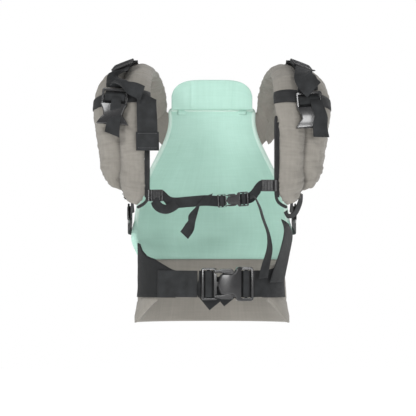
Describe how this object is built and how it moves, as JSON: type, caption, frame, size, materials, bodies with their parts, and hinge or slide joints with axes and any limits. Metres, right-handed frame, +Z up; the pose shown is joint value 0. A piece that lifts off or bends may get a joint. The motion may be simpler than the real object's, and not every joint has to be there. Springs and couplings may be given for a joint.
{
  "type": "soft baby carrier",
  "caption": "Soft structured baby carrier in its worn shape: padded shoulder straps, padded waistband, body panel, webbing and side-release buckles.",
  "frame": {"origin": "middle of the wearer's waist, at the height of the middle of the belt", "axes": "+Z up along the wearer's trunk, +Y to the wearer's front where the baby sits, +X to the wearer's right"},
  "size_m": [0.447, 0.2956, 0.4981],
  "materials": {
    "taupe_fabric": "woven",
    "mint_fabric": "woven",
    "black_webbing": "ribbed",
    "black_plastic": "glossy",
    "foam": "open foam"
  },
  "bodies": {
    "harness": {"front_panel": "mint_fabric", "right_leg_roll": "mint_fabric", "left_leg_roll": "mint_fabric", "waistband_cover": "taupe_fabric", "waistband_foam": "foam", "right_wing": "black_webbing", "left_wing": "black_webbing", "waist_plug": "black_plastic", "left_waist_webbing": "black_webbing", "right_waist_webbing": "black_webbing", "waist_tail_long": "black_webbing", "waist_tail_short": "black_webbing", "right_waist_tail": "black_webbing", "right_shoulder_pad_cover": "taupe_fabric", "right_shoulder_pad_foam": "foam", "right_rail": "black_webbing", "right_elastic_keeper": "black_webbing", "right_shoulder_webbing": "black_webbing", "left_shoulder_pad_cover": "taupe_fabric", "left_shoulder_pad_foam": "foam", "left_rail": "black_webbing", "left_elastic_keeper": "black_webbing", "left_shoulder_webbing": "black_webbing", "right_folded_tail": "black_webbing", "right_underarm_webbing": "black_webbing", "left_underarm_webbing": "black_webbing", "right_underarm_tail": "black_webbing"},
    "headrest": {"headrest": "mint_fabric"},
    "waist_socket": {"waist_socket": "black_plastic", "waist_socket_loop": "black_webbing"},
    "waist_prong_upper": {"waist_prong_upper": "black_plastic"},
    "waist_prong_lower": {"waist_prong_lower": "black_plastic"},
    "chest_strap": {"right_chest_slider": "black_plastic", "left_chest_slider": "black_plastic", "chest_plug": "black_plastic", "left_chest_webbing": "black_webbing", "right_chest_webbing": "black_webbing", "chest_slack_loop": "black_webbing", "chest_short_tail": "black_webbing"},
    "chest_socket": {"chest_socket": "black_plastic", "chest_socket_webbing": "black_webbing", "chest_long_tail": "black_webbing"},
    "chest_prong_upper": {"chest_prong_upper": "black_plastic"},
    "chest_prong_lower": {"chest_prong_lower": "black_plastic"},
    "right_shoulder_socket": {"right_shoulder_socket": "black_plastic", "right_socket_webbing": "black_webbing", "right_short_tail": "black_webbing"},
    "left_shoulder_socket": {"left_shoulder_socket": "black_plastic", "left_socket_webbing": "black_webbing", "left_short_tail": "black_webbing", "left_tail_fold": "black_webbing", "left_long_tail": "black_webbing"},
    "right_top_adjuster": {"right_top_adjuster": "black_plastic", "right_adjuster_webbing": "black_webbing"},
    "left_top_adjuster": {"left_top_adjuster": "black_plastic", "left_adjuster_webbing": "black_webbing"},
    "right_underarm_adjuster": {"right_underarm_adjuster": "black_plastic", "right_underarm_loop": "black_webbing"},
    "left_underarm_adjuster": {"left_underarm_adjuster": "black_plastic", "left_underarm_loop": "black_webbing"}
  },
  "joints": [
    {"name": "waist_socket_slide", "type": "slide", "parent": "harness", "child": "waist_socket", "axis": [0.9886, 0.1503, 0], "range_m": [0, 0.04]},
    {"name": "waist_prong_upper_press", "type": "hinge", "parent": "harness", "child": "waist_prong_upper", "pos_m": [0.00654, -0.12153, 0.0235], "axis": [-0.1503, 0.9886, 0], "range_deg": [0, 6], "stiffness_Nm_per_rad": 2, "springref_deg": -1.72},
    {"name": "waist_prong_lower_press", "type": "hinge", "parent": "harness", "child": "waist_prong_lower", "pos_m": [0.00654, -0.12153, -0.0235], "axis": [0.1503, -0.9886, 0], "range_deg": [0, 6], "stiffness_Nm_per_rad": 2, "springref_deg": -1.72},
    {"name": "chest_strap_height", "type": "slide", "parent": "harness", "child": "chest_strap", "axis": [0, 0, 1], "range_m": [0, 0.08]},
    {"name": "chest_socket_slide", "type": "slide", "parent": "chest_strap", "child": "chest_socket", "axis": [0.9962, 0, 0.087], "range_m": [0, 0.019]},
    {"name": "chest_prong_upper_press", "type": "hinge", "parent": "chest_strap", "child": "chest_prong_upper", "pos_m": [0.02529, -0.122, 0.16524], "axis": [0, 1, 0], "range_deg": [0, 6], "stiffness_Nm_per_rad": 0.3, "springref_deg": -1.72},
    {"name": "chest_prong_lower_press", "type": "hinge", "parent": "chest_strap", "child": "chest_prong_lower", "pos_m": [0.02692, -0.122, 0.14651], "axis": [0, -1, 0], "range_deg": [0, 6], "stiffness_Nm_per_rad": 0.3, "springref_deg": -1.72},
    {"name": "headrest_fold", "type": "hinge", "parent": "harness", "child": "headrest", "pos_m": [0, 0.1402, 0.3305], "axis": [-1, 0, 0], "range_deg": [0, 140]},
    {"name": "right_shoulder_socket_lift", "type": "hinge", "parent": "harness", "child": "right_shoulder_socket", "pos_m": [0.17907, -0.11622, 0.36163], "axis": [-0.9886, -0.1309, -0.0744], "range_deg": [0, 26]},
    {"name": "right_top_adjuster_slide", "type": "slide", "parent": "harness", "child": "right_top_adjuster", "axis": [0.4005, -0.7609, -0.5106], "range_m": [0, 0.008]},
    {"name": "right_underarm_adjuster_slide", "type": "slide", "parent": "harness", "child": "right_underarm_adjuster", "axis": [0, 0.9292, -0.3697], "range_m": [0, 0.02]},
    {"name": "left_shoulder_socket_lift", "type": "hinge", "parent": "harness", "child": "left_shoulder_socket", "pos_m": [-0.17907, -0.11622, 0.36163], "axis": [-0.9886, 0.1309, 0.0744], "range_deg": [0, 26]},
    {"name": "left_top_adjuster_slide", "type": "slide", "parent": "harness", "child": "left_top_adjuster", "axis": [-0.4005, -0.7609, -0.5106], "range_m": [0, 0.008]},
    {"name": "left_underarm_adjuster_slide", "type": "slide", "parent": "harness", "child": "left_underarm_adjuster", "axis": [0, 0.9292, -0.3697], "range_m": [0, 0.02]}
  ]
}
